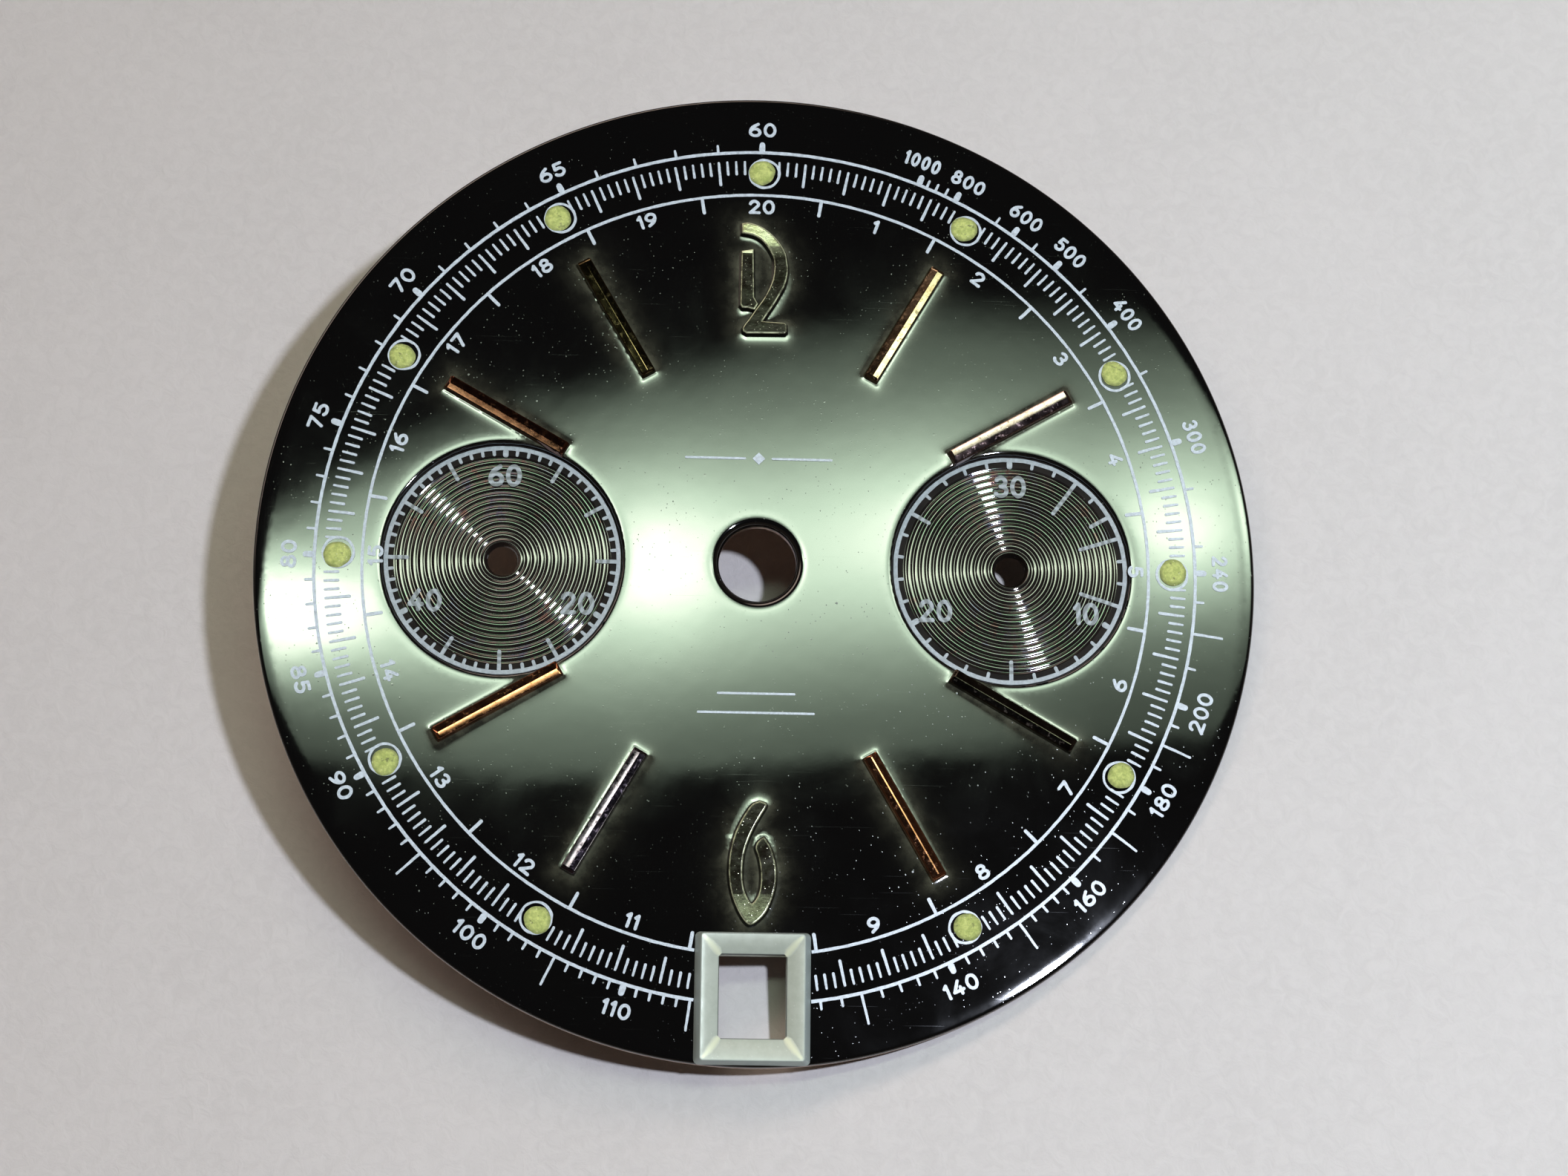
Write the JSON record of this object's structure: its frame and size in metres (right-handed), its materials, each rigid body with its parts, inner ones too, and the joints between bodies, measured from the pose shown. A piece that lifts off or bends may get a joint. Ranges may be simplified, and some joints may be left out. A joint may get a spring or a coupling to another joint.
{
  "type": "watch dial",
  "caption": "Round black chronograph dial with two sunk sub-dials, applied baton markers and numerals, luminous dots, printed scales and a framed date window.",
  "frame": {"origin": "on the axis of the centre hole, in the plane of the back seat ring that lies on the movement", "axes": "+Z out of the dial face towards the viewer, +Y to 12 o'clock, +X to 3 o'clock"},
  "size_m": [0.031, 0.031, 0.0039],
  "materials": {
    "plate": "glossy black lacquer on brass",
    "feet": "bare copper-coloured metal",
    "subdial_seconds": "glossy black over fine concentric turning",
    "subdial_minutes": "glossy black over fine concentric turning",
    "frame": "polished rhodium plate",
    "numerals": "polished, warm tint",
    "markers": "polished facets, warm tint",
    "lume": "matt yellow-green luminous compound",
    "print": "pale silver-grey pad print"
  },
  "bodies": {
    "root": {"centre_rules_print": "print", "date_frame": "frame", "decimal_numbers_print": "print", "decimal_scale_print": "print", "dial_foot_a": "feet", "dial_foot_b": "feet", "dial_plate": "plate", "hour_marker_1": "markers", "hour_marker_10": "markers", "hour_marker_11": "markers", "hour_marker_2": "markers", "hour_marker_4": "markers", "hour_marker_5": "markers", "hour_marker_7": "markers", "hour_marker_8": "markers", "lume_dot_1": "lume", "lume_dot_10": "lume", "lume_dot_11": "lume", "lume_dot_12": "lume", "lume_dot_2": "lume", "lume_dot_3": "lume", "lume_dot_4": "lume", "lume_dot_5": "lume", "lume_dot_7": "lume", "lume_dot_8": "lume", "lume_dot_9": "lume", "minutes_subdial_disc": "subdial_minutes", "minutes_subdial_print": "print", "numeral_12": "numerals", "numeral_6": "numerals", "seconds_subdial_disc": "subdial_seconds", "seconds_subdial_print": "print", "seconds_track_print": "print", "tachymeter_numbers_print": "print", "tachymeter_scale_print": "print"}
  },
  "joints": []
}
